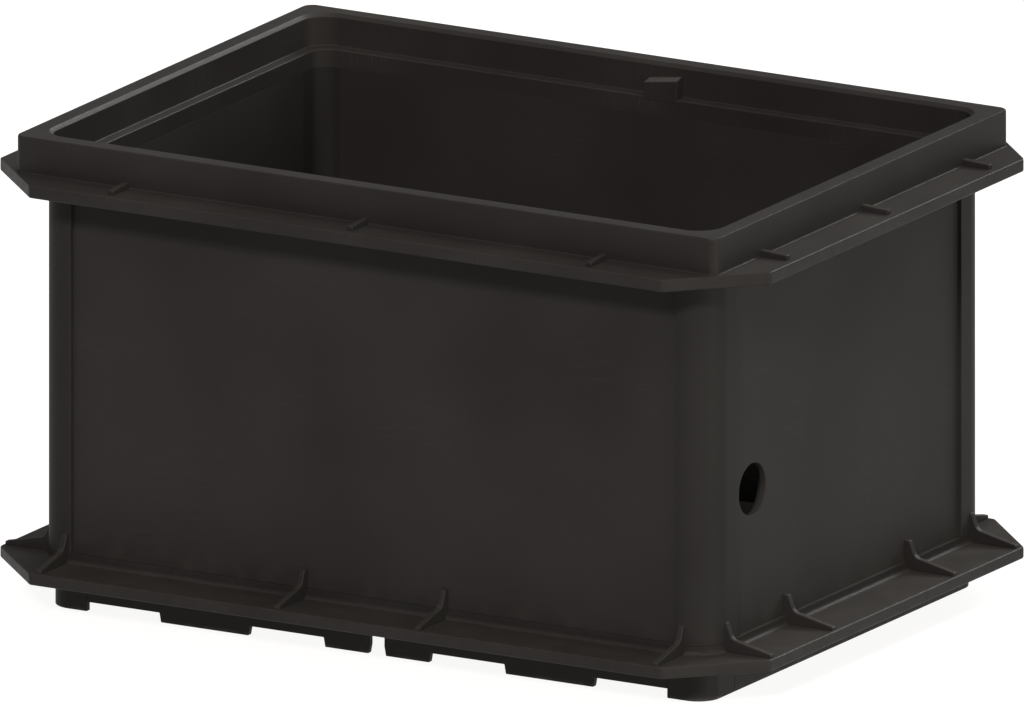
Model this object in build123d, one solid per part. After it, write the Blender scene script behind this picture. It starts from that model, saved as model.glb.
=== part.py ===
from build123d import *
import os

# Stacking plastic crate. Millimetres, +Z up, origin on the ground under the middle of the crate.
# X runs along the long sides, Y along the ends. "Out" is a distance outwards from the wall face,
# the flat outside face of the corner posts, and is negative towards the inside.

# ---- overall size ----
length = 400.0             # over the flanges, along X
width = 300.0              # over the flanges, along Y
height = 220.0             # feet to rim top

# ---- walls ----
flange_reach = 25.0        # wall face to flange edge
wall_radius = 16.0         # outside corner of the posts
post_depth = 8.0           # wall face to inside face
panel_recess = 2.0         # panel outside face behind the wall face
panel_thickness = 6.0
post_cover_long = 18.0     # width of a post on a long side
post_cover_end = 24.0      # width of a post on an end
tongue_thickness = 3.0
tongue_length = 3.0
joint_gap = 0.05           # clearance round a tongue in its groove

# ---- base frame and floor ----
ring_depth = 17.0          # feet to the underside of the base flange
base_flange_thickness = 5.5
flange_chamfer = 36.0      # legs of the flange's cut corner
flange_corner_radius = 3.0
flange_edge_radius = 1.0
upstand_rise = 4.0         # base flange top to the foot of the walls
cove_radius = 3.8
floor_thickness = 3.5
floor_drop = 2.75          # top of the base flange down to the floor's seat
floor_seat = 6.0           # width of the ledge that carries the floor
floor_gap = 0.1
floor_rib_depth = 6.0
floor_rib_thickness = 2.5
floor_rib_pitch = 46.0
floor_rib_gap = 1.0        # rib ends to the base frame

# ---- rim frame ----
collar_height = 17.0       # top flange top to rim top
top_flange_thickness = 6.0
collar_out = 7.0           # outside face of the collar
collar_in = -2.6           # inside face of the collar
collar_outer_radius = 4.0
collar_inner_radius = 12.0
collar_bevel = 1.6         # bevel of the rim's inside edge
collar_edge_radius = 1.0
ledge_depth = 15.0         # rim top down to the stacking ledge

# ---- stacking ring under the base ----
ring_out = -3.5            # outside face of the ring
ring_thickness = 3.0
ring_radius = 11.0
foot_cover_long = 21.0     # length of a corner foot along a long side
foot_cover_end = 24.5      # length of a corner foot along an end
foot_edge_radius = 0.6
tab_height = 4.4           # tabs below the band of a long rail
tab_taper = 0.8
outer_tab_width = 47.0
outer_tab_centre = 89.5
middle_tab_width = 24.0
front_slit_width = 7.5     # gap between the two middle tabs
slit_height = 10.0
key_clearance = 1.5        # rear slit, each side of the key of the crate below

# ---- gussets on the base flange ----
gusset_thickness = 3.0
gusset_height = 13.5
gusset_head = 3.4          # reach of the steep head at its foot
gusset_head_top = 0.6      # and at its top
gusset_shoulder = 6.1      # height of the slope at the head
gusset_toe = 1.6           # height of the slope at its outer end
gusset_setback = 1.2       # toe to flange edge
gusset_head_radius = 0.8
gusset_shoulder_radius = 4.0
middle_gusset_long = 36.5  # from the middle of a long side
middle_gusset_end = 54.5   # from the middle of an end
corner_gusset_inset = 15.0 # from the corner of the walls

# ---- ribs on the top flange ----
rim_rib_thickness = 3.0
rim_rib_height = 3.0
rim_rib_head = 1.0         # width of the flat head against the collar
rim_rib_toe = 2.2          # height at the toe
rim_rib_setback = 4.0      # toe to flange edge
rim_rib_inset_long = 58.0  # outer ribs from the collar's corner, long side
rim_rib_inset_end = 41.0   # outer ribs from the collar's corner, end

# ---- port and key ----
port_radius = 12.0
port_web = 5.6             # port edge to post
port_height = 91.4
port_wall = 3.0            # panel thickness round the port
port_relief = 3.0          # thinned ring round the port, its width
key_start = 0.7            # key's left end from the middle of the rear side
key_width = 17.2
key_depth = 5.5
key_height = 6.4           # at its lowest corner
key_rise_x = 0.134
key_rise_y = 0.22
key_root = 2.0             # let into the ledge

# ---- worked out from the sizes above ----
wall_x = length / 2 - flange_reach
wall_y = width / 2 - flange_reach
base_top = ring_depth + base_flange_thickness
wall_foot = base_top + upstand_rise
top_flange_top = height - collar_height
wall_head = top_flange_top - top_flange_thickness
ledge_z = height - ledge_depth
floor_seat_z = base_top - floor_drop
panel_out = -panel_recess
panel_in = -panel_recess - panel_thickness
tongue_out = (panel_out + panel_in + tongue_thickness) / 2
tongue_in = tongue_out - tongue_thickness
post_x = wall_x - post_cover_long
post_y = wall_y - post_cover_end
ring_in = ring_out - ring_thickness
key_end = key_start + key_width
key_back = wall_y + collar_in
near = 0.01                # how closely an edge is told from its height


def slab(x0, x1, y0, y1, z0, z1):
    """A box between two corners."""
    return Pos((x0 + x1) / 2, (y0 + y1) / 2, (z0 + z1) / 2) * Box(x1 - x0, y1 - y0, z1 - z0)


def rounded_block(out, radius, z0, z1):
    """A block with round corners whose sides stand `out` from the wall face."""
    outline = RectangleRounded(2 * (wall_x + out), 2 * (wall_y + out), radius)
    return Pos(0, 0, z0) * extrude(outline, z1 - z0)


def wall_block(out, z0, z1):
    """The same, with corners concentric with the posts' outside corner."""
    return rounded_block(out, wall_radius + out, z0, z1)


def wall_ring(out, inner, z0, z1):
    """A closed wall between two distances from the wall face."""
    return wall_block(out, z0, z1) - wall_block(inner, z0, z1)


def flange_plate(z0, z1):
    """The eight-sided flange, with its upright corners and its edges rounded."""
    x, y, c = length / 2, width / 2, flange_chamfer
    points = [(x, y - c), (x - c, y), (c - x, y), (-x, y - c)]
    points += [(-px, -py) for px, py in points]
    plate = Pos(0, 0, z0) * extrude(make_face(Polyline(*points, close=True)), z1 - z0)
    plate = fillet(plate.edges().filter_by(Axis.Z), flange_corner_radius)
    rims = [plate.faces().sort_by(Axis.Z)[k].edges() for k in (0, -1)]
    return fillet(rims[0] + rims[1], flange_edge_radius)


def corner_zone(x0, y0, z0, z1, sx, sy):
    """The part of space outside x0 and y0 at one corner of the crate."""
    xs = sorted((sx * x0, sx * length))
    ys = sorted((sy * y0, sy * length))
    return slab(xs[0], xs[1], ys[0], ys[1], z0, z1)


def tongue_ring(z0, z1, gap):
    """The ring that tongues fill, or the groove for it when a gap is given."""
    return wall_ring(tongue_out + gap, tongue_in - gap, z0, z1)


def make_base_frame():
    """Flange, floor seat and the low upstand that the walls stand on, with its cove."""
    frame = flange_plate(ring_depth, base_top) + wall_block(0, ring_depth, wall_foot)
    at_foot = [e for e in frame.edges() if abs(e.bounding_box().max.Z - base_top) < near
               and abs(e.bounding_box().min.Z - base_top) < near
               and abs(e.center().X) < wall_x + near and abs(e.center().Y) < wall_y + near]
    frame = fillet(at_foot, cove_radius)
    frame -= wall_block(-post_depth, floor_seat_z, wall_foot)
    frame -= wall_block(-post_depth - floor_seat, ring_depth, floor_seat_z)
    return frame - tongue_ring(wall_foot - tongue_length - joint_gap, wall_foot, joint_gap)


def make_floor():
    """Floor plate on its seat, with a grid of ribs below."""
    floor = wall_block(-post_depth - floor_gap, floor_seat_z, floor_seat_z + floor_thickness)
    x = wall_x - post_depth - floor_seat - floor_rib_gap
    y = wall_y - post_depth - floor_seat - floor_rib_gap
    low = floor_seat_z - floor_rib_depth
    half = floor_rib_thickness / 2
    for k in range(-int(x / floor_rib_pitch), int(x / floor_rib_pitch) + 1):
        at = k * floor_rib_pitch
        floor += slab(at - half, at + half, -y, y, low, floor_seat_z)
    for k in range(-int(y / floor_rib_pitch), int(y / floor_rib_pitch) + 1):
        at = k * floor_rib_pitch
        floor += slab(-x, x, at - half, at + half, low, floor_seat_z)
    return floor


def make_rim_frame():
    """Top flange, collar and stacking ledge, with its groove for the walls and pocket for the key."""
    collar = rounded_block(collar_out, collar_outer_radius, wall_head, height)
    collar = fillet(collar.faces().sort_by(Axis.Z)[-1].edges(), collar_edge_radius)
    rim = flange_plate(wall_head, top_flange_top) + collar
    rim -= rounded_block(collar_in, collar_inner_radius, ledge_z, height)
    inner = [e for e in rim.faces().sort_by(Axis.Z)[-1].edges()
             if abs(e.center().X) < wall_x and abs(e.center().Y) < wall_y]
    rim = chamfer(inner, collar_bevel)
    rim -= wall_block(-post_depth, wall_head, ledge_z)
    rim -= slab(key_start - joint_gap, key_end + joint_gap, key_back - key_depth - joint_gap,
                key_back + joint_gap, ledge_z - key_root - joint_gap, ledge_z)
    return rim - tongue_ring(wall_head, wall_head + tongue_length + joint_gap, joint_gap)


def make_post(sx, sy):
    """Corner post: an L in plan with a round outside corner, grooved for the panels."""
    zone = corner_zone(post_x, post_y, wall_foot - height, 2 * height, sx, sy)
    post = wall_ring(0, -post_depth, wall_foot, wall_head) & zone
    z0, z1 = wall_foot - tongue_length, wall_head + tongue_length
    post += (tongue_ring(z0, wall_foot, 0) + tongue_ring(wall_head, z1, 0)) & zone
    reach = tongue_length + joint_gap
    groove = tongue_ring(wall_foot, wall_head, joint_gap)
    post -= groove & slab(-post_x - reach, post_x + reach, -width, width, wall_foot, wall_head)
    post -= groove & slab(-length, length, -post_y - reach, post_y + reach, wall_foot, wall_head)
    return post


def make_long_panel(sy):
    """Panel of a long side, between two posts, with a tongue on all four edges."""
    ys = sorted((sy * (wall_y + panel_in), sy * (wall_y + panel_out)))
    ts = sorted((sy * (wall_y + tongue_in), sy * (wall_y + tongue_out)))
    panel = slab(-post_x, post_x, ys[0], ys[1], wall_foot, wall_head)
    panel += slab(-post_x - tongue_length, post_x + tongue_length, ts[0], ts[1], wall_foot, wall_head)
    return panel + slab(-post_x, post_x, ts[0], ts[1], wall_foot - tongue_length,
                        wall_head + tongue_length)


def make_end_panel(sx):
    """Panel of an end, between two posts, with a tongue on all four edges."""
    xs = sorted((sx * (wall_x + panel_in), sx * (wall_x + panel_out)))
    ts = sorted((sx * (wall_x + tongue_in), sx * (wall_x + tongue_out)))
    panel = slab(xs[0], xs[1], -post_y, post_y, wall_foot, wall_head)
    panel += slab(ts[0], ts[1], -post_y - tongue_length, post_y + tongue_length, wall_foot, wall_head)
    return panel + slab(ts[0], ts[1], -post_y, post_y, wall_foot - tongue_length,
                        wall_head + tongue_length)


def drill_port(panel):
    """The round port low in the right end, with the panel thinned round it from the inside."""
    y = -post_y + port_web + port_radius
    relief_x = wall_x + panel_out - port_wall - panel_thickness / 2
    port = Cylinder(port_radius, 2 * flange_reach)
    relief = Cylinder(port_radius + port_relief, panel_thickness)
    panel -= Pos(wall_x, y, port_height) * Rot(0, 90, 0) * port
    return panel - Pos(relief_x, y, port_height) * Rot(0, 90, 0) * relief


def make_foot(sx, sy):
    """Corner of the stacking ring, the crate's foot."""
    ring = rounded_block(ring_out, ring_radius, 0, ring_depth)
    ring -= rounded_block(ring_in, ring_radius - ring_thickness, 0, ring_depth)
    x = wall_x + ring_out - foot_cover_long
    y = wall_y + ring_out - foot_cover_end
    foot = ring & corner_zone(x, y, 0, ring_depth, sx, sy)
    return chamfer(foot.faces().sort_by(Axis.Z)[0].edges(), foot_edge_radius)


def make_end_rail(sx):
    """Plain rail of the stacking ring across an end."""
    y = wall_y + ring_out - foot_cover_end
    xs = sorted((sx * (wall_x + ring_in), sx * (wall_x + ring_out)))
    rail = slab(xs[0], xs[1], -y, y, 0, ring_depth)
    under = rail.faces().sort_by(Axis.Z)[0].edges().filter_by(Axis.Y)
    return chamfer(under, foot_edge_radius)


def tab_outline(centre, tab_width):
    """One tab below the band of a long rail, tapered to its end."""
    half = tab_width / 2
    points = [(centre - half, ring_depth), (centre - half, tab_height), (centre - half + tab_taper, 0),
              (centre + half - tab_taper, 0), (centre + half, tab_height), (centre + half, ring_depth)]
    return make_face(Polyline(*points, close=True))


def make_long_rail(sy, slit_from, slit_to):
    """Castellated rail of the stacking ring along a long side, slit beside its middle."""
    x = wall_x + ring_out - foot_cover_long
    outline = Pos(0, (tab_height + ring_depth) / 2) * Rectangle(2 * x, ring_depth - tab_height)
    outline += tab_outline(slit_from - middle_tab_width / 2, middle_tab_width)
    outline += tab_outline(slit_to + middle_tab_width / 2, middle_tab_width)
    for side in (-1, 1):
        outline += tab_outline(side * outer_tab_centre, outer_tab_width)
    slit = Pos((slit_from + slit_to) / 2, slit_height / 2) * Rectangle(slit_to - slit_from, slit_height)
    rail = extrude(Plane.XZ * (outline - slit), ring_thickness / 2, both=True)
    return Pos(0, sy * (wall_y + (ring_out + ring_in) / 2), 0) * rail


def gusset_blank():
    """A gusset across the Y axis, with its back `panel_recess` inside Y = 0 and its toe at +Y."""
    toe = flange_reach - gusset_setback
    z_head = base_top + gusset_height
    points = [(panel_out, base_top), (panel_out, z_head), (gusset_head_top, z_head),
              (gusset_head, base_top + gusset_shoulder), (toe, base_top + gusset_toe), (toe, base_top)]
    blank = extrude(Plane.YZ * make_face(Polyline(*points, close=True)), gusset_thickness / 2, both=True)
    ridge = blank.edges().filter_by(Axis.X).sort_by(Axis.Z)
    shoulder = [e for e in ridge if abs(e.center().Z - base_top - gusset_shoulder) < near]
    blank = fillet(shoulder, gusset_shoulder_radius)
    heads = [e for e in blank.edges().filter_by(Axis.X)
             if abs(e.center().Z - z_head) < near and e.center().Y > 0]
    return fillet(heads, gusset_head_radius)


def rim_rib_blank():
    """A low rib on the top flange, with its back at Y = 0 and its toe at +Y."""
    toe = flange_reach - collar_out - rim_rib_setback
    points = [(0, top_flange_top), (0, top_flange_top + rim_rib_height),
              (rim_rib_head, top_flange_top + rim_rib_height),
              (toe, top_flange_top + rim_rib_toe), (toe, top_flange_top)]
    return extrude(Plane.YZ * make_face(Polyline(*points, close=True)), rim_rib_thickness / 2, both=True)


def on_side(blank, side, at, out):
    """Put a blank that points to +Y on one side of the crate, `at` along it and `out` from the wall."""
    places = {
        "rear": Pos(at, wall_y + out, 0),
        "front": Pos(at, -wall_y - out, 0) * Rot(0, 0, 180),
        "left": Pos(-wall_x - out, at, 0) * Rot(0, 0, 90),
        "right": Pos(wall_x + out, at, 0) * Rot(0, 0, -90),
    }
    return places[side] * blank


def make_gussets(side, solids):
    """The four gussets of one side, fitted to the cove and the walls behind them."""
    long_side = side in ("front", "rear")
    corner = (wall_x if long_side else wall_y) - corner_gusset_inset
    middle = middle_gusset_long if long_side else middle_gusset_end
    group = []
    for at in (-corner, -middle, middle, corner):
        gusset = on_side(gusset_blank(), side, at, 0)
        for solid in solids:
            gusset -= solid
        group.append(gusset)
    return Compound(children=[g.solids().sort_by(SortBy.VOLUME)[-1] for g in group])


def make_rim_ribs(side):
    """The three low ribs of one side of the top flange."""
    long_side = side in ("front", "rear")
    outer = (wall_x - rim_rib_inset_long if long_side else wall_y - rim_rib_inset_end) + collar_out
    ribs = [on_side(rim_rib_blank(), side, at, collar_out) for at in (-outer, 0, outer)]
    return Compound(children=[r.solids()[0] for r in ribs])


def make_key():
    """Key block let into the ledge at the rear, with a top that slopes two ways."""
    key = slab(key_start, key_end, key_back - key_depth, key_back, ledge_z - key_root, height)
    corner = (key_start, key_back - key_depth, ledge_z + key_height)
    cut = Plane(origin=corner, z_dir=(-key_rise_x, -key_rise_y, 1))
    return split(key, bisect_by=cut, keep=Keep.BOTTOM)


def main():
    sides = ("front", "rear", "left", "right")
    nodes = {"base_frame": make_base_frame(), "floor_panel": make_floor(), "rim_frame": make_rim_frame()}
    nodes["front_panel"] = make_long_panel(-1)
    nodes["rear_panel"] = make_long_panel(1)
    nodes["left_end_panel"] = make_end_panel(-1)
    nodes["right_end_panel"] = drill_port(make_end_panel(1))
    corners = {"front_left": (-1, -1), "front_right": (1, -1), "rear_left": (-1, 1), "rear_right": (1, 1)}
    for name, (sx, sy) in corners.items():
        nodes["post_" + name] = make_post(sx, sy)
        nodes["foot_" + name] = make_foot(sx, sy)
    nodes["left_rail"] = make_end_rail(-1)
    nodes["right_rail"] = make_end_rail(1)
    nodes["front_tab_rail"] = make_long_rail(-1, -front_slit_width / 2, front_slit_width / 2)
    nodes["rear_tab_rail"] = make_long_rail(1, key_start - key_clearance, key_end + key_clearance)
    walls = [nodes[n] for n in nodes if n.startswith("post_") or n.endswith("_panel") and n != "floor_panel"]
    for side in sides:
        nodes["base_gussets_" + side] = make_gussets(side, [nodes["base_frame"]] + walls)
        nodes["rim_ribs_" + side] = make_rim_ribs(side)
    nodes["rear_key"] = make_key()

    os.makedirs("parts", exist_ok=True)
    for name, shape in nodes.items():
        export_step(shape, os.path.join("parts", name + ".step"))
    box = Compound(children=[s for shape in nodes.values() for s in shape.solids()]).bounding_box()
    print("nodes", len(nodes), "size", box.size, "low", box.min)


main()
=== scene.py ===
# %% [markdown]
# # A stacking crate in black plastic
#
# The object is a warehouse crate, 400 mm long, moulded in black polypropylene. Four flat walls stand
# between corner posts. A wide eight-sided flange goes round the foot and another round the rim, both
# stiffened with small ribs, and a castellated ring under the base drops into the rim of the next crate.
#
# The packed CAD model is loaded first and is never moved. Every piece below is modelled again in the
# same place, with the rounded edges and the moulded surface that a plain solid lacks, and says which
# CAD nodes it stands for.

# %% Load the packed crate
import math
import bmesh
import bpy
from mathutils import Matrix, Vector


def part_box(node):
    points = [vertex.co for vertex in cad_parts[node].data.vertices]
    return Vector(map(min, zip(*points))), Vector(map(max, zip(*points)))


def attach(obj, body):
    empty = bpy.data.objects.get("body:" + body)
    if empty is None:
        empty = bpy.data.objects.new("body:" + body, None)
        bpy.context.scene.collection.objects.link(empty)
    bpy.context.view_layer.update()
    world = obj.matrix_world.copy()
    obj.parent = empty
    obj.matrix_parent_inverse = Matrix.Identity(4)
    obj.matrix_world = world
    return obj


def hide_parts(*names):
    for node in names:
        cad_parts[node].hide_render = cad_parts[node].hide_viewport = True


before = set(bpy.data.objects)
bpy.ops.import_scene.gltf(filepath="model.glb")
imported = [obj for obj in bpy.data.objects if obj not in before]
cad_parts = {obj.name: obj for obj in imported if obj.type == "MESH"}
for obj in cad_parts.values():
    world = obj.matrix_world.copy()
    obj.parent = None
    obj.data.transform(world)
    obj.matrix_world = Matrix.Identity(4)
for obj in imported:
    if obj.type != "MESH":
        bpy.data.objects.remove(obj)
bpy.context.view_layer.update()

# %% [markdown]
# ## Heights and wall lines
#
# A crate like this is drawn from a few levels: the feet, the two flanges, the stacking ledge and the
# rim. They are read from the CAD nodes' boxes where a box says them, and written as a step from one of
# those where it does not, so that a change of size in the CAD carries through.
#
# A useful habit on a box with rounded corners is to call every line in plan by how far it lies "out"
# from the face of the walls. The feet, the collar and the floor are then all the same outline, further
# out or further in.

# %% Levels and wall lines, in metres
MM = 0.001
base_low, base_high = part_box("base_frame")
rim_low, rim_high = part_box("rim_frame")
half_length, half_width = rim_high.x, rim_high.y
base_under, base_top, wall_foot = base_low.z, base_low.z + 5.5 * MM, base_high.z
wall_head, flange_top, rim_top = rim_low.z, rim_low.z + 6 * MM, rim_high.z
ledge = rim_top - 15 * MM
flange_reach = 25 * MM
wall_x, wall_y = half_length - flange_reach, half_width - flange_reach
wall_inside = -8 * MM
post_radius = 16 * MM
post_x, post_y = wall_x - 18 * MM, wall_y - 24 * MM
print("wall faces", wall_x, wall_y, "from", wall_foot, "to", wall_head)

# %% [markdown]
# ## Camera
#
# The crate is seen from in front of its long side, turned 30 degrees towards its right end and from 15
# degrees above, with no perspective, as in a catalogue. A parallel camera looks along its own minus Z,
# so its turn comes from the direction it stands in, and its distance only has to clear the crate.

# %% Camera
VIEW_TURN, VIEW_RISE = 30, 15
VIEW_WIDTH = 0.4603
VIEW_CENTRE = Vector((0, 0, 0.11205))


def towards(turn, rise):
    """The direction `turn` degrees round from the front to the right and `rise` degrees up."""
    turn, rise = math.radians(turn), math.radians(rise)
    return Vector((math.sin(turn) * math.cos(rise), -math.cos(turn) * math.cos(rise), math.sin(rise)))


def facing(direction):
    """The turn that points a camera's or a lamp's back in a direction."""
    return direction.to_track_quat("Z", "Y").to_euler()


camera = bpy.data.objects.new("catalogue_camera", bpy.data.cameras.new("catalogue_camera"))
camera.data.type = "ORTHO"
camera.data.ortho_scale = VIEW_WIDTH
camera.location = VIEW_CENTRE + 2 * towards(VIEW_TURN, VIEW_RISE)
camera.rotation_euler = facing(towards(VIEW_TURN, VIEW_RISE))
bpy.context.scene.collection.objects.link(camera)
bpy.context.scene.camera = camera
print("camera at", [round(v, 3) for v in camera.location])

# %% [markdown]
# ## Light
#
# Black plastic shows hardly any colour of its own, so each face needs a light that makes it differ from
# its neighbours. The front lamp stands high enough for the rim flange to throw a short shadow on the
# wall. The right lamp is almost level: it lights the end without such a shadow, and the walls keep it
# out of the crate. The top lamp lifts the flanges. The back lamp is where a rounded edge that runs
# front to back mirrors it to the camera, so it draws the cove and the rim of the end as bright lines.
# Sun lamps light a flat wall evenly, and their angle sets how soft the shadows are.

# %% Lamps and surround
SURROUND = 0.18


def lamp(name, turn, rise, strength, softness, colour):
    """A broad distant lamp."""
    light = bpy.data.lights.new(name, "SUN")
    light.energy = strength
    light.angle = math.radians(softness)
    light.color = colour
    made = bpy.data.objects.new(name, light)
    made.rotation_euler = facing(towards(turn, rise))
    bpy.context.scene.collection.objects.link(made)
    return made


lamp("front_lamp", 15, 33, 3.2, 9, (1.0, 0.955, 0.93))
lamp("right_lamp", 82, 7, 2.05, 20, (1.0, 0.985, 0.89))
lamp("top_lamp", 120, 78, 2.4, 60, (1.0, 1.0, 0.98))
lamp("back_lamp", 172, 31, 2.8, 26, (1.0, 0.99, 0.97))
world = bpy.data.worlds.new("pale_room")
world.use_nodes = True
backdrop = world.node_tree.nodes["Background"]
backdrop.inputs["Color"].default_value = (1.0, 0.995, 0.985, 1)
backdrop.inputs["Strength"].default_value = SURROUND
bpy.context.scene.world = world
bpy.context.scene.view_settings.view_transform = "Standard"

# %% [markdown]
# ## Writing a node tree as sums
#
# Every finish below is arithmetic on a place: how far from an edge, how cloudy, how worn. Linking maths
# nodes by hand hides that. `Value` wraps one socket, so that a + b or 1 - mask adds the node itself, and
# `Graph.add` makes every other node from its type, its settings and what goes into its sockets. The same
# two classes also build the Geometry Nodes trees.

# %% Value and Graph
class Value:
    """One output socket of a tree, on which Python's signs add Math nodes."""

    def __init__(self, graph, socket):
        self.graph, self.socket = graph, socket

    def maths(self, operation, *others):
        sockets = dict(enumerate((self,) + others))
        return self.graph.add("ShaderNodeMath", {"operation": operation}, sockets)

    def __add__(self, other):
        return self.maths("ADD", other)

    def __mul__(self, other):
        return self.maths("MULTIPLY", other)

    def __sub__(self, other):
        return self.maths("SUBTRACT", other)

    def __rsub__(self, other):
        return self.graph.add("ShaderNodeMath", {"operation": "SUBTRACT"}, {0: other, 1: self})

    def __abs__(self):
        return self.maths("ABSOLUTE")

    __radd__, __rmul__ = __add__, __mul__

    def rise(self, low, high):
        """0 below `low`, 1 above `high`, and a smooth step between; it falls if low is the higher."""
        sockets = {"Value": self, "From Min": low, "From Max": high}
        return self.graph.add("ShaderNodeMapRange", {"interpolation_type": "SMOOTHSTEP"}, sockets)


class Graph:
    """A node tree, with one method that adds any node."""

    def __init__(self, tree):
        self.tree = tree

    def add(self, kind, settings=None, sockets=None, output=0):
        node = self.tree.nodes.new(kind)
        for name, value in (settings or {}).items():
            setattr(node, name, value)
        for name, value in (sockets or {}).items():
            if isinstance(value, Value):
                self.tree.links.new(value.socket, node.inputs[name])
            else:
                node.inputs[name].default_value = value
        return Value(self, node.outputs[output]) if node.outputs else None


print("signs on a value:", [n for n in vars(Value) if n.startswith("__") and n != "__init__"])

# %% [markdown]
# ## What moulded black plastic looks like
#
# The colour is a warm near-black, and the surface does the rest. A crate's mould is spark-eroded, which
# leaves a fine leathery grain, coarser on the walls than on the flanges. The plastic flows and cools
# unevenly, so the gloss drifts slowly over a hand's width. In use, edges are rubbed smooth and pale,
# faces pick up fine scratches, and dust settles in the corners.
#
# Each of these is a number between 0 and 1 over the surface, made from Object coordinates, and the four
# finishes mix them differently. Nothing depends on where the camera is.

# %% Grain, clouds, scratches and the shader they end in
WARM_BLACK = (0.0118, 0.0104, 0.0099, 1)
WARM_GREY = (0.0150, 0.0135, 0.0128, 1)
POST_SHADE_BLACK = (0.0045, 0.0042, 0.0040, 1)
PALE_WEAR_AND_HIGHLIGHT = (0.060, 0.057, 0.053, 1)
DUST_AND_TOP_LIGHT = (0.085, 0.078, 0.068, 1)


def new_finish(name):
    """An empty material, its graph and the place on the piece."""
    finish = bpy.data.materials.new(name)
    finish.use_nodes = True
    finish.node_tree.nodes.clear()
    graph = Graph(finish.node_tree)
    return finish, graph, graph.add("ShaderNodeTexCoord", output="Object")


def noise(graph, place, size, detail=2.0, stretch=(1, 1, 1), roughness=0.5):
    """Cloudy noise with blobs of about `size` metres, drawn out along an axis by `stretch`."""
    squeezed = graph.add("ShaderNodeVectorMath", {"operation": "DIVIDE"}, {0: place, 1: stretch})
    sockets = {"Vector": squeezed, "Scale": 1 / size, "Detail": detail, "Roughness": roughness}
    return graph.add("ShaderNodeTexNoise", {}, sockets, "Fac")


def scratches(graph, place, stretch, size):
    """Thin broken lines along the axis that `stretch` draws out."""
    line = abs(noise(graph, place, size, 1.0, stretch) - 0.5).rise(0.012, 0.0)
    return line * noise(graph, place, 35 * MM, 2.0).rise(0.50, 0.66)


def mix(graph, mask, under, over):
    """One colour over another where the mask is 1."""
    sockets = {0: mask, 6: under, 7: over}
    return graph.add("ShaderNodeMix", {"data_type": "RGBA"}, sockets, 2)


def close_finish(graph, colour, roughness, height, depth, gloss):
    """Surface shader, with the bump that the grain makes."""
    normal = graph.add("ShaderNodeBump", {}, {"Height": height, "Distance": depth, "Strength": 1.0})
    sockets = {"Base Color": colour, "Roughness": roughness, "Normal": normal,
               "Specular IOR Level": gloss, "IOR": 1.49}
    shader = graph.add("ShaderNodeBsdfPrincipled", {}, sockets, "BSDF")
    graph.add("ShaderNodeOutputMaterial", {}, {"Surface": shader})


def axes(graph, place):
    """The three coordinates of a place as values."""
    split = graph.add("ShaderNodeSeparateXYZ", {}, {0: place}).socket.node
    return [Value(graph, split.outputs[k]) for k in range(3)]


print("warm black", WARM_BLACK[:3])

# %% [markdown]
# ### Walls and posts
#
# The walls are the largest surface, so their finish has to be quiet: fine grain, a slow drift in gloss,
# a few scuffs that run level because crates slide past each other, and a little dust above the foot. The
# posts are painted a shade deeper than the panels: this is painted shade, not a different plastic.

# %% Finish of the walls
def wall_finish():
    finish, graph, place = new_finish("moulded_wall")
    x, y, z = axes(graph, place)
    cloud = noise(graph, place, 90 * MM, 2.0)
    grain = noise(graph, place, 0.7 * MM, 3.0, roughness=0.65)
    scuff = scratches(graph, place, (30, 30, 1), 1.1 * MM)
    low = z.rise(wall_foot + 16 * MM, wall_foot) * noise(graph, place, 9 * MM, 3.0).rise(0.35, 0.75)
    painted_post_shade = (abs(x) - post_x).maths("MINIMUM", abs(y) - post_y).rise(0, 0.5 * MM)
    colour = mix(graph, cloud.rise(0.3, 0.7), WARM_BLACK, WARM_GREY)
    # painted shade: the posts are darkened against the panels
    colour = mix(graph, painted_post_shade * 0.28, colour, POST_SHADE_BLACK)
    colour = mix(graph, scuff * 0.15, colour, PALE_WEAR_AND_HIGHLIGHT)
    colour = mix(graph, low * 0.05, colour, DUST_AND_TOP_LIGHT)
    roughness = 0.54 + 0.08 * cloud - 0.06 * scuff
    close_finish(graph, colour, roughness, grain - 0.3 * scuff, 0.05 * MM, 0.08)
    return finish


wall_plastic = wall_finish()
print(wall_plastic.name, len(wall_plastic.node_tree.nodes), "nodes")

# %% [markdown]
# ### Flanges, collar and ribs
#
# The flanges take the knocks. How close a point is to the flange's edge is plain arithmetic, because
# the outline has eight straight sides: the largest of its distances past a long side, an end and a cut
# corner. That gives the paler rubbed line along every edge, broken up with noise. Their tops are flat
# and gather dust; the same paler coat is also painted top light, so it follows the upward part of the
# surface's own normal, and there is more of it on the lower flange. The key's top has a painted highlight.

# %% Finish of the flanges and the collar
FLANGE_CUT = 36 * MM
RIM_BEVEL = 1.6 * MM


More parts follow.
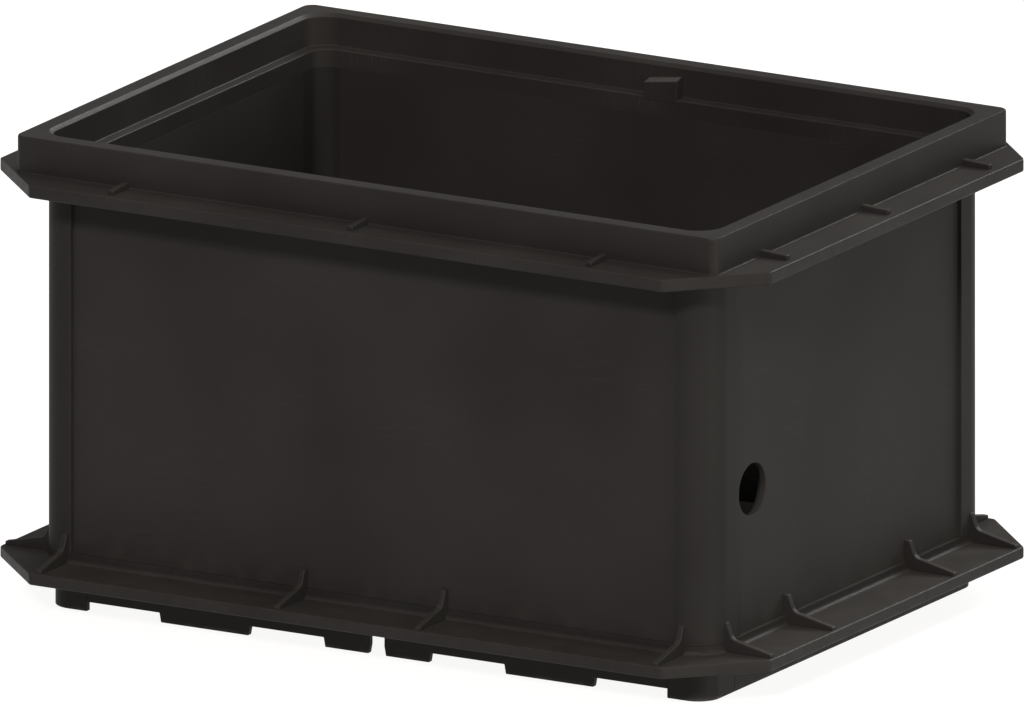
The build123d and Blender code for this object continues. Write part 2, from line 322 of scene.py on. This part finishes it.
def frame_finish():
    finish, graph, place = new_finish("moulded_frame")
    x, y, z = axes(graph, place)
    past_end, past_side = abs(x) - half_length, abs(y) - half_width
    past_corner = (past_end + past_side + FLANGE_CUT) * math.sqrt(0.5)
    past_edge = past_end.maths("MAXIMUM", past_side).maths("MAXIMUM", past_corner)
    patchy = noise(graph, place, 5 * MM, 4.0)
    rubbed = past_edge.rise(-2.0 * MM, -0.2 * MM) + z.rise(rim_top - 1.2 * MM, rim_top - 0.2 * MM)
    rubbed = rubbed * patchy.rise(0.30, 0.72)
    up = axes(graph, graph.add("ShaderNodeNewGeometry", output="Normal"))[2]
    patches = noise(graph, place, 14 * MM, 3.0).rise(0.25, 0.80)
    dust_and_top_light = up.rise(0.4, 1.0) * (0.5 + 0.5 * patches) * (1 - 0.6 * z.rise(base_top, flange_top))
    below_rim = z.rise(rim_top - RIM_BEVEL, rim_top - RIM_BEVEL - 0.4 * MM)
    painted_key_highlight = up.rise(0.90, 0.96) * z.rise(ledge + 4 * MM, ledge + 5 * MM) * below_rim
    cloud = noise(graph, place, 70 * MM, 2.0)
    grain = noise(graph, place, 0.55 * MM, 3.0, roughness=0.6)
    scuff = scratches(graph, place, (1, 1, 25), 0.9 * MM)
    colour = mix(graph, cloud.rise(0.3, 0.7), WARM_BLACK, WARM_GREY)
    colour = mix(graph, rubbed * 0.03, colour, PALE_WEAR_AND_HIGHLIGHT)
    colour = mix(graph, scuff * 0.25, colour, PALE_WEAR_AND_HIGHLIGHT)
    # dust and painted top light: up-facing surfaces are painted paler
    colour = mix(graph, dust_and_top_light * 0.11, colour, DUST_AND_TOP_LIGHT)
    # painted highlight: the key's top is painted paler
    colour = mix(graph, painted_key_highlight * 0.45, colour, PALE_WEAR_AND_HIGHLIGHT)
    roughness = 0.46 + 0.08 * cloud - 0.05 * rubbed + 0.12 * dust_and_top_light
    close_finish(graph, colour, roughness, grain - 0.4 * scuff, 0.045 * MM, 0.07)
    return finish


frame_plastic = frame_finish()
print(frame_plastic.name, len(frame_plastic.node_tree.nodes), "nodes")

# %% [markdown]
# ### Floor
#
# Goods slide about on the floor, so its scratches run both ways and are the strongest on the crate.
# Dust lies where a hand does not reach, along the foot of the walls.

# %% Finish of the floor
def floor_finish():
    finish, graph, place = new_finish("moulded_floor")
    x, y = axes(graph, place)[:2]
    cloud = noise(graph, place, 60 * MM, 3.0)
    grain = noise(graph, place, 0.8 * MM, 3.0, roughness=0.65)
    along = scratches(graph, place, (45, 1, 1), 1.0 * MM)
    across = scratches(graph, place, (1, 45, 1), 1.0 * MM)
    to_wall = (abs(x) - wall_x).maths("MAXIMUM", abs(y) - wall_y)
    dust_and_top_light = to_wall.rise(-34 * MM, -9 * MM) * noise(graph, place, 8 * MM, 4.0).rise(0.35, 0.75)
    colour = mix(graph, cloud.rise(0.3, 0.7), WARM_BLACK, WARM_GREY)
    colour = mix(graph, along.maths("MAXIMUM", across) * 0.5, colour, PALE_WEAR_AND_HIGHLIGHT)
    colour = mix(graph, dust_and_top_light * 0.22, colour, DUST_AND_TOP_LIGHT)
    roughness = 0.52 + 0.10 * cloud - 0.10 * along
    close_finish(graph, colour, roughness, grain - 0.4 * along - 0.4 * across, 0.06 * MM, 0.10)
    return finish


floor_plastic = floor_finish()
print(floor_plastic.name, len(floor_plastic.node_tree.nodes), "nodes")

# %% [markdown]
# ### Stacking ring
#
# The feet and rails are painted the deepest black: painted shade, for the crate's own shadow. They are
# dragged over concrete, so the last millimetres above the ground are ground matt and grey.

# %% Finish of the stacking ring
def ring_finish():
    finish, graph, place = new_finish("moulded_ring")
    z = axes(graph, place)[2]
    cloud = noise(graph, place, 50 * MM, 2.0)
    grain = noise(graph, place, 0.6 * MM, 3.0, roughness=0.6)
    ground = z.rise(2.2 * MM, 0.2 * MM) * noise(graph, place, 5 * MM, 3.0).rise(0.35, 0.65)
    scuff = scratches(graph, place, (20, 20, 1), 0.9 * MM)
    # painted shade: the ring's base colour is darker than the walls' for the shadow it stands in
    colour = mix(graph, cloud.rise(0.3, 0.7), (0.0105, 0.0092, 0.0086, 1), WARM_BLACK)
    colour = mix(graph, ground * 0.5, colour, PALE_WEAR_AND_HIGHLIGHT)
    colour = mix(graph, scuff * 0.3, colour, PALE_WEAR_AND_HIGHLIGHT)
    roughness = 0.50 + 0.08 * cloud + 0.20 * ground
    close_finish(graph, colour, roughness, grain - 0.4 * scuff, 0.05 * MM, 0.10)
    return finish


ring_plastic = ring_finish()
print(ring_plastic.name, len(ring_plastic.node_tree.nodes), "nodes")

# %% [markdown]
# ## Studio floor
#
# The crate stands on a plain pale floor, large enough to fill the picture behind it.

# %% Floor of the studio
STAGE_REACH, STAGE_DROP = 4.0, -0.3 * MM


def pale_floor():
    mesh = bpy.data.meshes.new("studio_floor")
    square = ((-1, -1), (1, -1), (1, 1), (-1, 1))
    corners = [(x * STAGE_REACH, y * STAGE_REACH, STAGE_DROP) for x, y in square]
    mesh.from_pydata(corners, [], [(0, 1, 2, 3)])
    finish, graph, place = new_finish("pale_paint")
    tone = mix(graph, noise(graph, place, 0.4, 2.0), (0.10, 0.10, 0.098, 1), (0.12, 0.12, 0.118, 1))
    sockets = {"Base Color": tone, "Roughness": 0.9, "Specular IOR Level": 0.1,
               "Emission Color": (1.0, 0.995, 0.985, 1), "Emission Strength": 0.93}
    shader = graph.add("ShaderNodeBsdfPrincipled", {}, sockets, "BSDF")
    graph.add("ShaderNodeOutputMaterial", {}, {"Surface": shader})
    mesh.materials.append(finish)
    made = bpy.data.objects.new("studio_floor", mesh)
    bpy.context.scene.collection.objects.link(made)
    return made


pale_floor()

# %% [markdown]
# ## Turning points into finished pieces
#
# A moulded edge is never sharp. Where a piece is a plain shape pushed up from an outline, a Bevel
# modifier rounds its edges, and Weighted Normal keeps the large faces flat-looking beside the small
# round ones. The modifiers are then made permanent, so each piece ends as one plain mesh at the origin.

# %% Object, edge rounding and hand-over
EDGE_STEPS = 3
SHARP = math.radians(35)


def freeze(piece):
    """Keep what the modifiers make as the piece's own mesh."""
    made = bpy.data.meshes.new_from_object(piece.evaluated_get(bpy.context.evaluated_depsgraph_get()))
    piece.modifiers.clear()
    piece.data = made
    return piece


def object_of(name, shell, finish):
    """Close a bmesh into an object with one finish and smooth faces."""
    bmesh.ops.remove_doubles(shell, verts=shell.verts, dist=1e-6)
    bmesh.ops.recalc_face_normals(shell, faces=shell.faces)
    mesh = bpy.data.meshes.new(name)
    shell.to_mesh(mesh)
    shell.free()
    mesh.materials.append(finish)
    mesh.shade_smooth()
    piece = bpy.data.objects.new(name, mesh)
    bpy.context.scene.collection.objects.link(piece)
    return piece


def rounded(piece, radius):
    """Round the piece's sharp edges, or only mark them and even out its shading when the radius is 0."""
    if radius:
        edge = piece.modifiers.new("edge", "BEVEL")
        edge.width, edge.segments = radius, EDGE_STEPS
        edge.limit_method, edge.angle_limit = "ANGLE", SHARP
    else:
        piece.data.set_sharp_from_angle(angle=SHARP)
    piece.modifiers.new("even_shading", "WEIGHTED_NORMAL").keep_sharp = True
    return freeze(piece)


def hand_over(piece, slot, *nodes):
    """Fix the piece to the crate's body and hide the CAD nodes it stands for; the slot is not used."""
    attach(piece, "root")
    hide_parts(*nodes)
    print(piece.name, len(piece.data.polygons), "faces, for", len(nodes), "nodes")


# %% [markdown]
# ## Outlines that match point for point
#
# The flange is eight-sided and the collar above it has round corners, yet one skin has to run from one
# to the other. If both outlines carry the same number of points, listed the same way round, the skin
# between them is just a row of quads. Each outline is therefore written as one corner, and the other
# three are that corner mirrored.

# %% Outlines in plan
CORNER_STEPS = 23


def four_ways(corner):
    """One corner's points, listed anticlockwise, carried round all four corners."""
    back = corner[::-1]
    left = [(-x, y) for x, y in back] + [(-x, -y) for x, y in corner]
    return corner + left + [(x, -y) for x, y in back]


def arc(x, y, radius, start, end, steps):
    """Points of an arc, in degrees anticlockwise from +X."""
    angles = [math.radians(start + (end - start) * k / steps) for k in range(steps + 1)]
    return [(x + radius * math.cos(a), y + radius * math.sin(a)) for a in angles]


def round_corner(out, radius):
    """The corner of a rounded rectangle that stands `out` from the walls."""
    return arc(wall_x + out - radius, wall_y + out - radius, radius, 0, 90, CORNER_STEPS)


def cut_corner(radius):
    """The flange's cut corner: two soft 45 degree turns with a straight between."""
    back = radius * math.tan(math.radians(22.5)) + FLANGE_CUT
    half = CORNER_STEPS // 2
    return (arc(half_length - radius, half_width - back, radius, 0, 45, half)
            + arc(half_length - back, half_width - radius, radius, 45, 90, half))


flange_line = four_ways(cut_corner(3 * MM))
print("points in an outline", len(flange_line), len(four_ways(round_corner(0, post_radius))))

# %% [markdown]
# ## A skin over stacked outlines
#
# Walking round the section of the rim (underside, edge, top, collar, ledge, inside) gives a list of
# stations, each an outline at a height. Joining each to the next, and the last to the first, makes a
# closed watertight ring. Every station may ask for a rounding: the sharp outline is then replaced by a
# few outlines on an arc that touches both neighbours, worked out at each point on its own. A Bevel
# modifier could do the small edges, but not the cove at the foot of the walls, which must stay exactly
# 3.8 mm where the outlines change shape.

# %% Skin
COVE_FROM, COVE_STEPS = 2 * MM, 8
ALONG = {"X": lambda a, b, c: (c, a, b), "Y": lambda a, b, c: (a, c, b), "Z": lambda a, b, c: (a, b, c)}


def turn_at(before, at, after, radius, steps):
    """Points of the arc that rounds the corner before-at-after."""
    u, v = (before - at).normalized(), (after - at).normalized()
    half = u.angle(v) / 2
    room = 0.48 * min((before - at).length, (after - at).length)
    reach = min(radius / math.tan(half), room)
    centre = at + (u + v).normalized() * reach / math.cos(half)
    start, end = at + u * reach - centre, at + v * reach - centre
    return [centre + start.slerp(end, k / steps) * start.length for k in range(steps + 1)]


def skin(name, stations, finish, axis="Z", edge=0):
    """A closed ring through stations of (outline, height, rounding), with the heights along an axis."""
    loops = [[Vector(ALONG[axis](a, b, height)) for a, b in line] for line, height, _ in stations]
    rows = []
    for k, (_, _, radius) in enumerate(stations):
        if not radius:
            rows.append(loops[k])
            continue
        steps = EDGE_STEPS if radius < COVE_FROM else COVE_STEPS
        columns = [turn_at(*points, radius, steps)
                   for points in zip(loops[k - 1], loops[k], loops[(k + 1) % len(loops)])]
        rows += [list(row) for row in zip(*columns)]
    shell = bmesh.new()
    grid = [[shell.verts.new(point) for point in row] for row in rows]
    for k, row in enumerate(grid):
        above = grid[(k + 1) % len(grid)]
        for j in range(len(row)):
            shell.faces.new((row[j - 1], row[j], above[j], above[j - 1]))
    return rounded(object_of(name, shell, finish), edge)


def round_line(out, radius):
    """A whole rounded outline that stands `out` from the walls."""
    return four_ways(round_corner(out, radius))


# %% [markdown]
# ## Rim frame
#
# The rim is the top flange, the upright collar that stiffens it, and the ledge inside the collar on
# which the next crate stands. The collar's outside corners are nearly square and its inside corners
# are full rounds, which is why the two faces are separate outlines and not one wall with a thickness.

# %% Rim frame
EDGE = 1.0 * MM
collar_out, collar_in = 7 * MM, -2.6 * MM
mouth = round_line(collar_in, 12 * MM)
collar = round_line(collar_out, 4 * MM)
inside = round_line(wall_inside, post_radius + wall_inside)

rim = skin("rim_collar", [
    (flange_line, wall_head, EDGE),
    (flange_line, flange_top, EDGE),
    (collar, flange_top, 0.8 * MM),
    (collar, rim_top, EDGE),
    (round_line(-1.0 * MM, 13 * MM), rim_top, 0.4 * MM),
    (mouth, rim_top - RIM_BEVEL, 0.4 * MM),
    (mouth, ledge, 0.6 * MM),
    (inside, ledge, 0.5 * MM),
    (inside, wall_head, 0),
], frame_plastic)
hand_over(rim, "frame_plastic", "rim_frame")

# %% [markdown]
# ## Base frame
#
# The base is the same flange again, thinner, with a low upstand that the walls stand on. A cove fills
# the angle between them: the one line on the crate that always catches the light. Inside, a step
# carries the floor.

# %% Base frame
floor_low, floor_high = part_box("floor_panel")
floor_seat = base_top - 2.75 * MM
seat_in = wall_inside - 6 * MM
face = round_line(0, post_radius)

base = skin("base_flange", [
    (flange_line, base_under, EDGE),
    (flange_line, base_top, EDGE),
    (face, base_top, 3.8 * MM),
    (face, wall_foot, 0),
    (inside, wall_foot, 0),
    (inside, floor_seat, 0),
    (round_line(seat_in, post_radius + seat_in), floor_seat, 0),
    (round_line(seat_in, post_radius + seat_in), base_under, 0),
], frame_plastic)
hand_over(base, "frame_plastic", "base_frame")

# %% [markdown]
# ## Shapes pushed up from an outline
#
# Posts, panels, feet and rails all have one outline and straight sides. `prism` takes the outline and
# two ends along an axis. The caps are single many-sided faces, which is safe because they are flat.

# %% Prism
def capped(name, below, above, finish):
    """A closed solid between two matching rings of points."""
    shell = bmesh.new()
    low, high = [[shell.verts.new(point) for point in ring] for ring in (below, above)]
    shell.faces.new(low)
    shell.faces.new(high)
    for j in range(len(low)):
        shell.faces.new((low[j - 1], low[j], high[j], high[j - 1]))
    return object_of(name, shell, finish)


def prism(name, outline, low, high, finish, edge, axis="Z"):
    """An outline pushed from `low` to `high` along an axis, with its edges rounded."""
    below, above = [[ALONG[axis](a, b, c) for a, b in outline] for c in (low, high)]
    return rounded(capped(name, below, above, finish), edge)


# %% [markdown]
# ## Corner posts
#
# A post is an L in plan, with the crate's outside round at its heel. It stands 2 mm proud of the panels
# on both sides, and that small step, with its softened edge, is the upright line beside each corner.
# One L is drawn for the corner where X and Y are positive, and mirrored for the others.

# %% Corner posts
SEAM = 0.25 * MM
outer = round_corner(0, post_radius)
inner = round_corner(wall_inside, post_radius + wall_inside)[::-1]
heel = [(wall_x, post_y)] + outer + [(post_x, wall_y), (post_x, wall_y + wall_inside)]
heel += inner + [(wall_x + wall_inside, post_y)]

corners = {"front_left": (-1, -1), "front_right": (1, -1), "rear_left": (-1, 1), "rear_right": (1, 1)}
for corner_name, (sx, sy) in corners.items():
    outline = [(sx * x, sy * y) for x, y in heel]
    post = prism("post_of_" + corner_name, outline, wall_foot, wall_head, wall_plastic, SEAM)
    hand_over(post, "wall_plastic", "post_" + corner_name)

# %% [markdown]
# ## Wall panels
#
# Three panels are plain sheets. The right end also has a cable port low beside the front post, and the
# sheet is thinned round it from the inside so that a gland's nut has room. A hole in a sheet needs no
# boolean: the outline and the hole's circles are stations of the same closed skin as the rim, laid on its
# side, going from the outside face through the stepped bore to the inside face.

# %% Panels
panel_face = {"front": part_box("front_panel")[0].y, "rear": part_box("rear_panel")[1].y,
              "left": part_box("left_end_panel")[0].x, "right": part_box("right_end_panel")[1].x}
panel_depth = 6 * MM


def sheet_outline(half):
    """A panel's outline, as wide as the gap between two posts."""
    return [(-half, wall_foot), (half, wall_foot), (half, wall_head), (-half, wall_head)]


for side in ("front", "rear"):
    deep = panel_face[side] - math.copysign(panel_depth, panel_face[side])
    panel = prism("panel_at_" + side, sheet_outline(post_x), *sorted((panel_face[side], deep)),
                  wall_plastic, SEAM, "Y")
    hand_over(panel, "wall_plastic", side + "_panel")
left = prism("panel_at_left_end", sheet_outline(post_y), panel_face["left"],
             panel_face["left"] + panel_depth, wall_plastic, SEAM, "X")
hand_over(left, "wall_plastic", "left_end_panel")

# %% Panel with the cable port
PORT_STEPS = 16
PORT_RADIUS, PORT_RELIEF, PORT_WALL = 12 * MM, 15 * MM, 3 * MM
port_y, port_z = -post_y + 5.6 * MM + PORT_RADIUS, 91.4 * MM


def edge_points():
    """Points on the sheet's outline, as many as a circle of the port has, corners included."""
    points = []
    parts = [k / PORT_STEPS for k in range(PORT_STEPS)]
    sides = sheet_outline(post_y)
    for (ax, ay), (bx, by) in zip(sides[1:] + sides[:1], sides[2:] + sides[:2]):
        points += [(ax + (bx - ax) * t, ay + (by - ay) * t) for t in parts]
    return points


def port_circle(radius):
    """A circle of the port, starting towards the sheet's first corner."""
    return arc(port_y, port_z, radius, -45, 315, 4 * PORT_STEPS)[:-1]


face_x = panel_face["right"]
bored = skin("panel_at_right_end", [
    (edge_points(), face_x - panel_depth, 0),
    (edge_points(), face_x, 0),
    (port_circle(PORT_RADIUS), face_x, 0.6 * MM),
    (port_circle(PORT_RADIUS), face_x - PORT_WALL, 0.3 * MM),
    (port_circle(PORT_RELIEF), face_x - PORT_WALL, 0.3 * MM),
    (port_circle(PORT_RELIEF), face_x - panel_depth, 0.4 * MM),
], wall_plastic, "X", SEAM)
hand_over(bored, "wall_plastic", "right_end_panel")

# %% [markdown]
# ## Feet and rails of the stacking ring
#
# The ring is what drops into the rim of the crate below. Its corners are the feet, plain rails join them
# across the ends, and on the long sides the rails are cut back between tabs so that dirt cannot hold
# the stack up. A tab tapers to its end to find its way in. The front rail has a slit between its two
# middle tabs, and the rear one a wide gap that clears the key.

# %% Feet and end rails
ring_out, ring_in = -3.5 * MM, -6.5 * MM
ring_radius = 11 * MM
FOOT_LONG, FOOT_END, RING_EDGE = 21 * MM, 24.5 * MM, 0.5 * MM
foot_x, foot_y = wall_x + ring_out - FOOT_LONG, wall_y + ring_out - FOOT_END
sole = [(wall_x + ring_out, foot_y)] + round_corner(ring_out, ring_radius)
sole += [(foot_x, wall_y + ring_out), (foot_x, wall_y + ring_in)]
sole += round_corner(ring_in, ring_radius + ring_in - ring_out)[::-1] + [(wall_x + ring_in, foot_y)]

for corner_name, (sx, sy) in corners.items():
    outline = [(sx * x, sy * y) for x, y in sole]
    foot = prism("foot_of_" + corner_name, outline, 0, base_under, ring_plastic, RING_EDGE)
    hand_over(foot, "ring_plastic", "foot_" + corner_name)
for side, sx in (("left", -1), ("right", 1)):
    ends = sorted((sx * (wall_x + ring_in), sx * (wall_x + ring_out)))
    outline = [(-foot_y, 0), (foot_y, 0), (foot_y, base_under), (-foot_y, base_under)]
    rail = prism("rail_at_" + side, outline, *ends, ring_plastic, RING_EDGE, "X")
    hand_over(rail, "ring_plastic", side + "_rail")

# %% Rails with tabs
TAB_HEIGHT, TAB_TAPER = 4.4 * MM, 0.8 * MM
OUTER_TAB, MIDDLE_TAB = (66 * MM, 113 * MM), 24 * MM
FRONT_SLIT, REAR_SLIT = (-3.75 * MM, 3.75 * MM), (-0.8 * MM, 19.4 * MM)
SLIT_TOP = 10 * MM


def tab_rail_outline(slit_from, slit_to):
    """Outline of a long rail, from its left end along the underside and back along the top."""
    spans = [(-OUTER_TAB[1], -OUTER_TAB[0]), (slit_from - MIDDLE_TAB, slit_from),
             (slit_to, slit_to + MIDDLE_TAB), OUTER_TAB]
    points = [(-foot_x, TAB_HEIGHT)]
    for k, (start, end) in enumerate(spans):
        points += [(start, TAB_HEIGHT), (start + TAB_TAPER, 0), (end - TAB_TAPER, 0), (end, TAB_HEIGHT)]
        if k == 1:
            points += [(end, SLIT_TOP), (spans[2][0], SLIT_TOP)]
    return points + [(foot_x, TAB_HEIGHT), (foot_x, base_under), (-foot_x, base_under)]


for side, sy, slit in (("front", -1, FRONT_SLIT), ("rear", 1, REAR_SLIT)):
    ends = sorted((sy * (wall_y + ring_in), sy * (wall_y + ring_out)))
    rail = prism("tab_rail_at_" + side, tab_rail_outline(*slit), *ends, ring_plastic, 0.4 * MM, "Y")
    hand_over(rail, "ring_plastic", side + "_tab_rail")

# %% [markdown]
# ## Ribs that repeat: one blank, placed by Geometry Nodes
#
# Sixteen gussets stiffen the base flange and twelve low ribs the top one, all from two blanks. On each
# side of the crate they stand in pairs about the middle, turned to face outwards. The tree below takes
# the blank as its input geometry and lays it on short lines of points, one line for each pair, then
# turns the set half round for the opposite side and a quarter round for the ends. Its sizes are named
# inputs, so the same tree places both kinds of rib.

# %% Tree that sets ribs on four sides
RIB_INPUTS = ("Outer pair, long side", "Inner pair, long side", "Outer pair, end", "Inner pair, end",
              "Distance of long side", "Distance of end")


def new_tree(name, numbers, counts=()):
    """An empty Geometry Nodes tree with named inputs, and the graph and input node to build on."""
    tree = bpy.data.node_groups.new(name, "GeometryNodeTree")
    tree.interface.new_socket("Geometry", in_out="INPUT", socket_type="NodeSocketGeometry")
    for label in numbers:
        tree.interface.new_socket(label, in_out="INPUT", socket_type="NodeSocketFloat")
    for label in counts:
        tree.interface.new_socket(label, in_out="INPUT", socket_type="NodeSocketInt")
    tree.interface.new_socket("Geometry", in_out="OUTPUT", socket_type="NodeSocketGeometry")
    graph = Graph(tree)
    given = tree.nodes.new("NodeGroupInput")
    return tree, graph, {s.name: Value(graph, s) for s in given.outputs if s.name}


def end_tree(graph, geometry, finish):
    """Finish a tree as the export needs it: real geometry with its material set."""
    real = graph.add("GeometryNodeRealizeInstances", {}, {0: geometry})
    done = graph.add("GeometryNodeSetMaterial", {}, {"Geometry": real, "Material": finish})
    graph.add("NodeGroupOutput", {}, {0: done})


def join(graph, *parts):
    """Several geometries as one."""
    joined = graph.add("GeometryNodeJoinGeometry")
    for part in parts:
        graph.tree.links.new(part.socket, joined.socket.node.inputs[0])
    return joined


def turned(graph, geometry, degrees):
    """A geometry turned about the crate's upright axis."""
    sockets = {"Geometry": geometry, "Rotation": (0, 0, math.radians(degrees))}
    return graph.add("GeometryNodeTransform", {}, sockets)


def four_sided_tree(name, finish):
    tree, graph, given = new_tree(name, RIB_INPUTS, ("Ribs in inner pair",))

    def side(outer, inner, far):
        """Two lines of points along one side, each with the blank on its points."""
        sets = []
        for reach, count in ((outer, 2), (inner, given["Ribs in inner pair"])):
            start = graph.add("ShaderNodeCombineXYZ", {}, {0: 0 - given[reach], 1: given[far]})
            end = graph.add("ShaderNodeCombineXYZ", {}, {0: given[reach], 1: given[far]})
            sockets = {"Count": count, "Start Location": start, "Offset": end}
            line = graph.add("GeometryNodeMeshLine", {"mode": "END_POINTS"}, sockets)
            sockets = {"Points": line, "Instance": given["Geometry"]}
            sets.append(graph.add("GeometryNodeInstanceOnPoints", {}, sockets))
        return join(graph, *sets)

    rear = side("Outer pair, long side", "Inner pair, long side", "Distance of long side")
    left = turned(graph, side("Outer pair, end", "Inner pair, end", "Distance of end"), 90)
    half = join(graph, rear, left)
    end_tree(graph, join(graph, half, turned(graph, half, 180)), finish)
    return tree


def placed(piece, tree, values, edge):
    """Run a tree on a piece with its inputs set by identifier, round the edges and keep the mesh."""
    modifier = piece.modifiers.new("placing", "NODES")
    modifier.node_group = tree
    for item in tree.interface.items_tree:
        if item.in_out == "INPUT" and item.name in values:
            modifier[item.identifier] = values[item.name]
    return rounded(piece, edge)


def blank(name, outline, thickness, finish):
    """A rib across the Y axis, seen from the side: points of (out, height)."""
    near, far = [[(x, out, height) for out, height in outline] for x in (-thickness / 2, thickness / 2)]
    return capped(name, near, far, finish)


# %% [markdown]
# ## Gussets on the base flange
#
# Each gusset has a steep nose against the wall, then a long slope down to the flange's edge. Its back and
# underside run a little into the wall and the flange, where they are out of sight.

# %% Gussets
SIDES = ("front", "rear", "left", "right")
RIB_THICKNESS, RIB_EDGE = 3 * MM, 0.5 * MM
SUNK = 0.3 * MM
head = Vector((0.6 * MM, base_top + 13.5 * MM, 0))
shoulder = Vector((3.4 * MM, base_top + 6.1 * MM, 0))
toe = Vector((flange_reach - 1.2 * MM, base_top + 1.6 * MM, 0))
back = Vector((-2 * MM - SUNK, head.y, 0))
upper_side = turn_at(back, head, shoulder, 0.8 * MM, 3) + turn_at(head, shoulder, toe, 4 * MM, 6) + [toe]
gusset_side = [(back.x, base_top - SUNK), (back.x, head.y)] + [(p.x, p.y) for p in upper_side]
gusset_side.append((toe.x, base_top - SUNK))

gussets = placed(blank("gussets_on_base", gusset_side, RIB_THICKNESS, frame_plastic),
                 four_sided_tree("set_gussets", frame_plastic),
                 {"Outer pair, long side": wall_x - 15 * MM, "Inner pair, long side": 36.5 * MM,
                  "Outer pair, end": wall_y - 15 * MM, "Inner pair, end": 54.5 * MM,
                  "Distance of long side": wall_y, "Distance of end": wall_x, "Ribs in inner pair": 2},
                 RIB_EDGE)
hand_over(gussets, "frame_plastic", *["base_gussets_" + side for side in SIDES])

# %% [markdown]
# ## Ribs on the top flange
#
# These are low wedges from the collar's foot outwards: one in the middle of each side and one towards
# each corner, so the inner "pair" of the tree is a single rib here.

# %% Ribs of the rim
rib_toe = flange_reach - collar_out - 4 * MM
rib_side = [(-SUNK, flange_top - SUNK), (-SUNK, flange_top + 3 * MM), (1 * MM, flange_top + 3 * MM),
            (rib_toe, flange_top + 2.2 * MM), (rib_toe, flange_top - SUNK)]

ribs = placed(blank("ribs_on_rim", rib_side, RIB_THICKNESS, frame_plastic),
              four_sided_tree("set_rim_ribs", frame_plastic),
              {"Outer pair, long side": wall_x + collar_out - 58 * MM, "Inner pair, long side": 0.0,
               "Outer pair, end": wall_y + collar_out - 41 * MM, "Inner pair, end": 0.0,
               "Distance of long side": wall_y + collar_out, "Distance of end": wall_x + collar_out,
               "Ribs in inner pair": 1},
              RIB_EDGE)
hand_over(ribs, "frame_plastic", *["rim_ribs_" + side for side in SIDES])

# %% [markdown]
# ## Floor and its lattice
#
# The floor is a thin plate on a deep lattice of ribs, seen from below. The lattice follows a rule, so it
# is a tree too: a row of long bars each way, spread from the middle at one pitch, and united by a
# boolean so that they meet as they do in the mould, in one skin with no faces inside the crossings.

# %% Lattice tree
def lattice_tree(finish):
    labels = ("Half length", "Half width", "Pitch", "Thickness", "Depth", "Seat")
    tree, graph, given = new_tree("floor_lattice", labels)
    pitch, thickness, depth = given["Pitch"], given["Thickness"], given["Depth"]
    middle = given["Seat"] - 0.5 * depth

    def bars(along, across, turn):
        """Bars as long as `along`, side by side over `across`."""
        each_side = given[across].maths("DIVIDE", pitch).maths("FLOOR")
        start = graph.add("ShaderNodeCombineXYZ", {}, {1: 0 - each_side * pitch, 2: middle})
        step = graph.add("ShaderNodeCombineXYZ", {}, {1: pitch})
        sockets = {"Count": 1 + 2 * each_side, "Start Location": start, "Offset": step}
        line = graph.add("GeometryNodeMeshLine", {"mode": "OFFSET"}, sockets)
        size = graph.add("ShaderNodeCombineXYZ", {}, {0: 2 * given[along], 1: thickness, 2: depth})
        bar = graph.add("GeometryNodeMeshCube", {}, {"Size": size})
        row = graph.add("GeometryNodeInstanceOnPoints", {}, {"Points": line, "Instance": bar})
        return turned(graph, row, turn)

    lengthways = bars("Half length", "Half width", 0)
    crossways = bars("Half width", "Half length", 90)
    real = [graph.add("GeometryNodeRealizeInstances", {}, {0: row}) for row in (lengthways, crossways)]
    whole = graph.add("GeometryNodeMeshBoolean", {"operation": "UNION", "solver": "EXACT"})
    for row in real:
        graph.tree.links.new(row.socket, whole.socket.node.inputs["Mesh 2"])
    end_tree(graph, whole, finish)
    return tree


# %% Floor plate on the lattice
PLATE_PLAY, LATTICE_PLAY, LATTICE_BITE, FLOOR_EDGE = 0.1 * MM, 1 * MM, 0.2 * MM, 0.4 * MM
lattice_out = seat_in - LATTICE_PLAY

lattice_base = bpy.data.objects.new("floor_lattice", bpy.data.meshes.new("floor_lattice"))
bpy.context.scene.collection.objects.link(lattice_base)
lattice = placed(lattice_base, lattice_tree(floor_plastic),
                 {"Half length": wall_x + lattice_out, "Half width": wall_y + lattice_out,
                  "Pitch": 46 * MM, "Thickness": 2.5 * MM, "Depth": floor_seat - floor_low.z + LATTICE_BITE,
                  "Seat": floor_seat + LATTICE_BITE}, FLOOR_EDGE)
plate_out = wall_inside - PLATE_PLAY
plate = prism("floor_plate", round_line(plate_out, post_radius + plate_out), floor_seat, floor_high.z,
              floor_plastic, FLOOR_EDGE)
hand_over(lattice, "floor_plastic", "floor_panel")
hand_over(plate, "floor_plastic", "floor_panel")

# %% [markdown]
# ## Key
#
# One small block stands on the ledge behind the rear rim. It fits the gap in the rear rail of the crate
# above, so a stack only goes together one way round. Its top slopes two ways.

# %% Key
key_low, key_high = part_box("rear_key")
KEY_RISE_X, KEY_RISE_Y = 0.134, 0.22


def key_block():
    left, right, front, rear = key_low.x, key_high.x, key_low.y, key_high.y
    plan = [(left, front), (right, front), (right, rear), (left, rear)]
    below = [(x, y, key_low.z) for x, y in plan]
    above = [(x, y, key_high.z - KEY_RISE_X * (right - x) - KEY_RISE_Y * (rear - y)) for x, y in plan]
    return rounded(capped("stacking_key", below, above, frame_plastic), RIB_EDGE)


hand_over(key_block(), "frame_plastic", "rear_key")

# %% [markdown]
